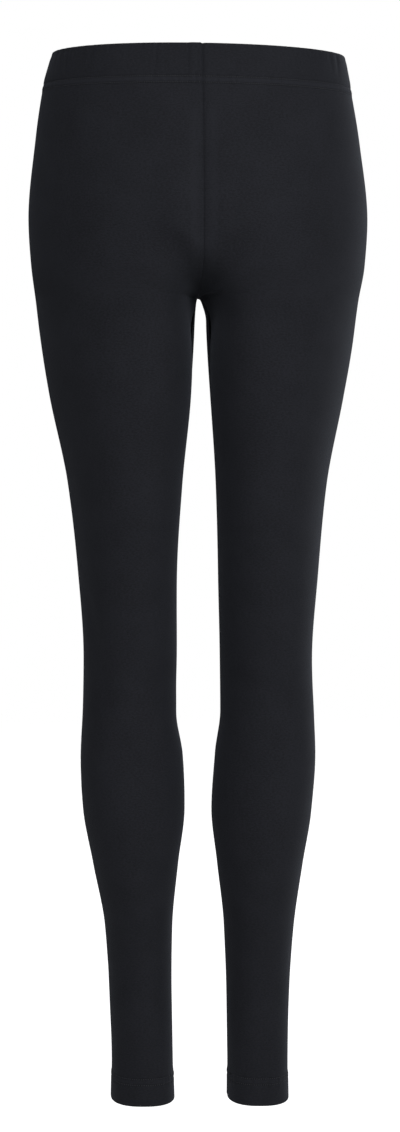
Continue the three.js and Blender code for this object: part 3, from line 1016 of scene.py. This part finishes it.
def floor_material(colours):
    """Pale matt floor that the camera sees as brightly lit, and that fades into the surroundings far off."""
    shader = Shader(bpy.data.materials.new("studio_floor"))
    place = shader.add("ShaderNodeTexCoord")["Object"]
    away = shader.add("ShaderNodeVectorMath", {"operation": "LENGTH"}, {0: place})["Value"]
    fade = shader.add(
        "ShaderNodeMapRange", {"interpolation_type": "SMOOTHSTEP"},
        {"Value": away, "From Min": 1.2, "From Max": 3.6})["Result"]
    seen = shader.add("ShaderNodeLightPath")["Is Camera Ray"]
    matt = shader.add("ShaderNodeBsdfPrincipled", {}, {
        "Base Color": (*colours.floor, 1),
        "Roughness": 0.95,
        "Specular IOR Level": 0.1,
        "Emission Color": shader.colour_mix(seen, (0, 0, 0), (1, 1, 1)),
        "Emission Strength": 1.0,
    })["BSDF"]
    clear = shader.add("ShaderNodeBsdfTransparent")["BSDF"]
    return shader.finish(shader.add("ShaderNodeMixShader", {}, {0: fade, 1: matt, 2: clear})["Shader"])


def build_floor(colours):
    """A round floor, an ankle's height under the hems."""
    radius, spokes = 4.0, 64
    ankle_height = 0.085
    low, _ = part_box("hem_left")
    turns = 2 * np.pi * np.arange(spokes) / spokes
    rim = [(radius * math.cos(t), radius * math.sin(t), 0) for t in turns]
    mesh = bpy.data.meshes.new("floor")
    mesh.from_pydata(rim, [], [list(range(spokes))])
    mesh.materials.append(floor_material(colours))
    floor = bpy.data.objects.new("floor", mesh)
    floor.location = (0, 0, low.z - ankle_height)
    bpy.context.scene.collection.objects.link(floor)


def surroundings(stage):
    """White to the camera, and a dim even light to the cloth."""
    shader = Shader(bpy.data.worlds.new("surroundings"))
    seen = shader.add("ShaderNodeLightPath")["Is Camera Ray"]
    strength = seen * (1 - stage.room_light) + stage.room_light
    values = {"Color": (1, 1, 1, 1), "Strength": strength}
    surface = shader.add("ShaderNodeBackground", {}, values)["Background"]
    return shader.finish(surface, "ShaderNodeOutputWorld")


def build_stage():
    """The camera, the floor, the surroundings and the four soft lights."""
    scene = bpy.context.scene
    stage = scene.leggings_stage
    build_camera(stage)
    build_floor(scene.leggings_colours)
    scene.world = surroundings(stage)
    scene.view_settings.view_transform = "Standard"
    middle = (0, 0, -0.45)
    soft_light("front_light", (-0.3, 2.5, 1.2), middle, 1.9, 1.5, stage.front_light, (0.97, 0.98, 1.0))
    soft_light("side_light", (-2.4, 0.5, -0.1), middle, 1.4, 2.4, stage.side_light, (0.95, 0.97, 1.0))
    soft_light("fill_light", (-0.9, -2.7, 1.1), middle, 2.4, 1.6, stage.fill_light, (0.97, 0.98, 1.0))
    soft_light("back_light", (-1.8, -1.5, -0.1), middle, 1.0, 2.4, stage.back_light, (0.9, 0.94, 1.0))


# Operators

class LEGGINGS_OT_legs(bpy.types.Operator):
    """Build the two jersey panels"""

    bl_idname = "leggings.legs"
    bl_label = "Leg panels"
    bl_options = {"REGISTER", "UNDO"}

    def execute(self, context):
        build_legs()
        return {"FINISHED"}


class LEGGINGS_OT_waistband(bpy.types.Operator):
    """Build the elastic waist casing"""

    bl_idname = "leggings.waistband"
    bl_label = "Waist casing"
    bl_options = {"REGISTER", "UNDO"}

    def execute(self, context):
        build_waistband()
        return {"FINISHED"}


class LEGGINGS_OT_hems(bpy.types.Operator):
    """Build the turned hems"""

    bl_idname = "leggings.hems"
    bl_label = "Hems"
    bl_options = {"REGISTER", "UNDO"}

    def execute(self, context):
        build_hems()
        return {"FINISHED"}


class LEGGINGS_OT_stitches(bpy.types.Operator):
    """Build the rows of stitches and their loopers"""

    bl_idname = "leggings.stitches"
    bl_label = "Twin-needle rows"
    bl_options = {"REGISTER", "UNDO"}

    def execute(self, context):
        build_stitches()
        return {"FINISHED"}


class LEGGINGS_OT_seams(bpy.types.Operator):
    """Build the overlocked allowances inside"""

    bl_idname = "leggings.seams"
    bl_label = "Seam allowances"
    bl_options = {"REGISTER", "UNDO"}

    def execute(self, context):
        build_seams()
        return {"FINISHED"}


class LEGGINGS_OT_stage(bpy.types.Operator):
    """Build the floor, light, surroundings and camera"""

    bl_idname = "leggings.stage"
    bl_label = "Studio stage"
    bl_options = {"REGISTER", "UNDO"}

    def execute(self, context):
        build_stage()
        return {"FINISHED"}


OPERATORS = (
    LEGGINGS_OT_legs, LEGGINGS_OT_waistband, LEGGINGS_OT_hems,
    LEGGINGS_OT_stitches, LEGGINGS_OT_seams, LEGGINGS_OT_stage,
)


class LEGGINGS_PT_panel(bpy.types.Panel):
    """Lists the pieces and their sizes and colours"""

    bl_label = "Leggings"
    bl_idname = "LEGGINGS_PT_panel"
    bl_space_type = "VIEW_3D"
    bl_region_type = "UI"
    bl_category = "Leggings"

    def draw(self, context):
        layout = self.layout
        for holder in GROUPS:
            group = getattr(context.scene, holder)
            box = layout.box()
            for name in group.bl_rna.properties.keys():
                if name not in ("rna_type", "name"):
                    box.prop(group, name)
        for operator in OPERATORS:
            layout.operator(operator.bl_idname)


GROUPS = {
    "leggings_sizes": LeggingsSizes, "leggings_colours": LeggingsColours, "leggings_stage": LeggingsStage,
}


def register():
    for cls in (*GROUPS.values(), *OPERATORS, LEGGINGS_PT_panel):
        bpy.utils.register_class(cls)
    for name, group in GROUPS.items():
        setattr(bpy.types.Scene, name, PointerProperty(type=group))


def unregister():
    for name in GROUPS:
        delattr(bpy.types.Scene, name)
    for cls in reversed((*GROUPS.values(), *OPERATORS, LEGGINGS_PT_panel)):
        bpy.utils.unregister_class(cls)


def main():
    register()
    bpy.ops.leggings.legs()
    bpy.ops.leggings.waistband()
    bpy.ops.leggings.hems()
    bpy.ops.leggings.stitches()
    bpy.ops.leggings.seams()
    bpy.ops.leggings.stage()


if __name__ == "__main__":
    main()
